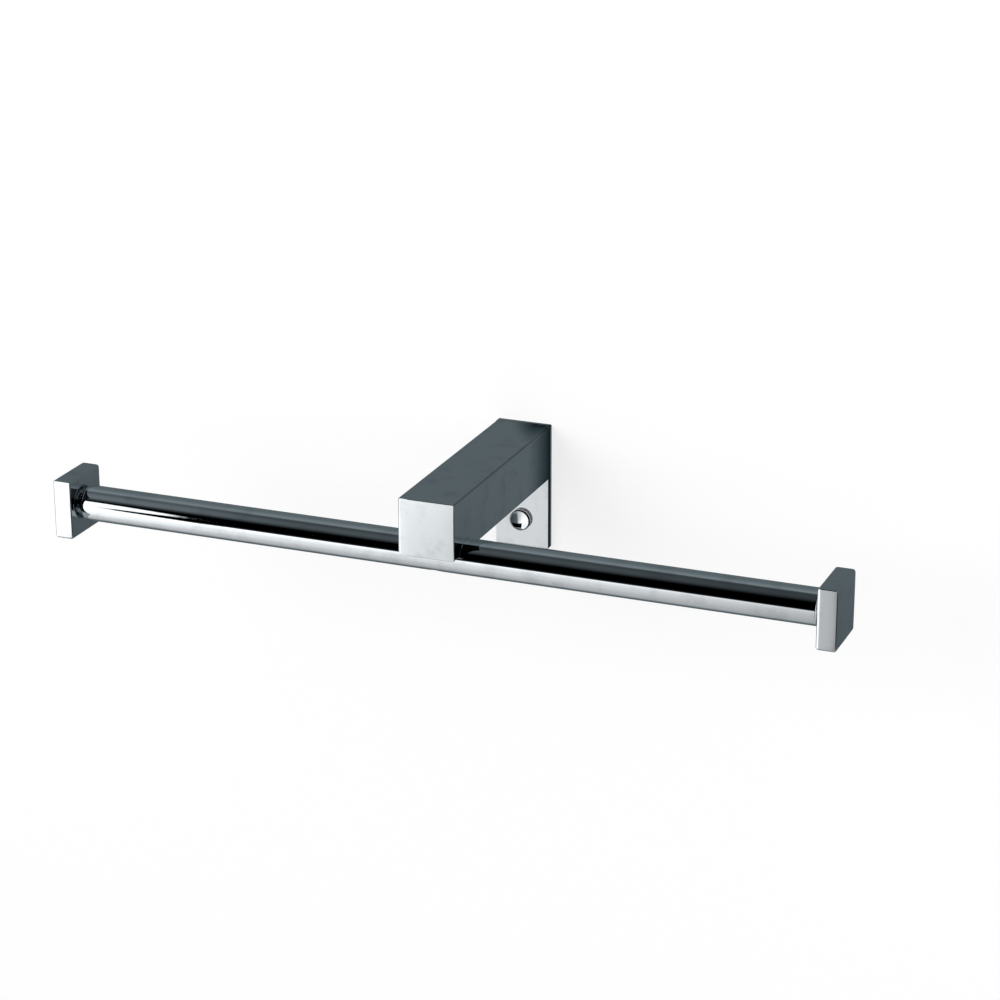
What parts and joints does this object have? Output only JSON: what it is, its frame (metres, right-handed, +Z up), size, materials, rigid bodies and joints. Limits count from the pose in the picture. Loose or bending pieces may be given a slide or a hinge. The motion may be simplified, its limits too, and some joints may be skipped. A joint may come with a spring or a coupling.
{
  "type": "double toilet roll holder",
  "caption": "Wall-mounted double toilet roll holder: a square arm on a slim plate carries one round bar across, a roll on each side, ending in square blocks.",
  "frame": {"origin": "middle of the wall plate's back face, on the wall", "axes": "+Y into the wall, +Z up, +X along the bar to the right as seen from the room"},
  "size_m": [0.3048, 0.097, 0.05],
  "materials": {
    "chrome": "bright polished chrome plate",
    "plated_brass": "turned brass, chrome plated where it shows",
    "turned_brass": "turned, unplated",
    "steel": "stainless steel, as supplied",
    "cast_zinc": "cast zinc, matt",
    "nylon": "white nylon"
  },
  "bodies": {
    "root": {"wall_plate": "chrome", "spigot": "cast_zinc", "spigot_screw_upper": "steel", "spigot_screw_lower": "steel", "arm": "chrome", "grub_screw": "steel", "bar": "chrome", "bar_core": "turned_brass", "bar_screw": "steel", "end_plug_left": "plated_brass", "end_plug_right": "plated_brass", "end_stud_left": "steel", "end_stud_right": "steel", "end_block_left": "chrome", "end_block_right": "chrome", "screw_cup": "nylon", "screw_cap": "chrome"}
  },
  "joints": []
}
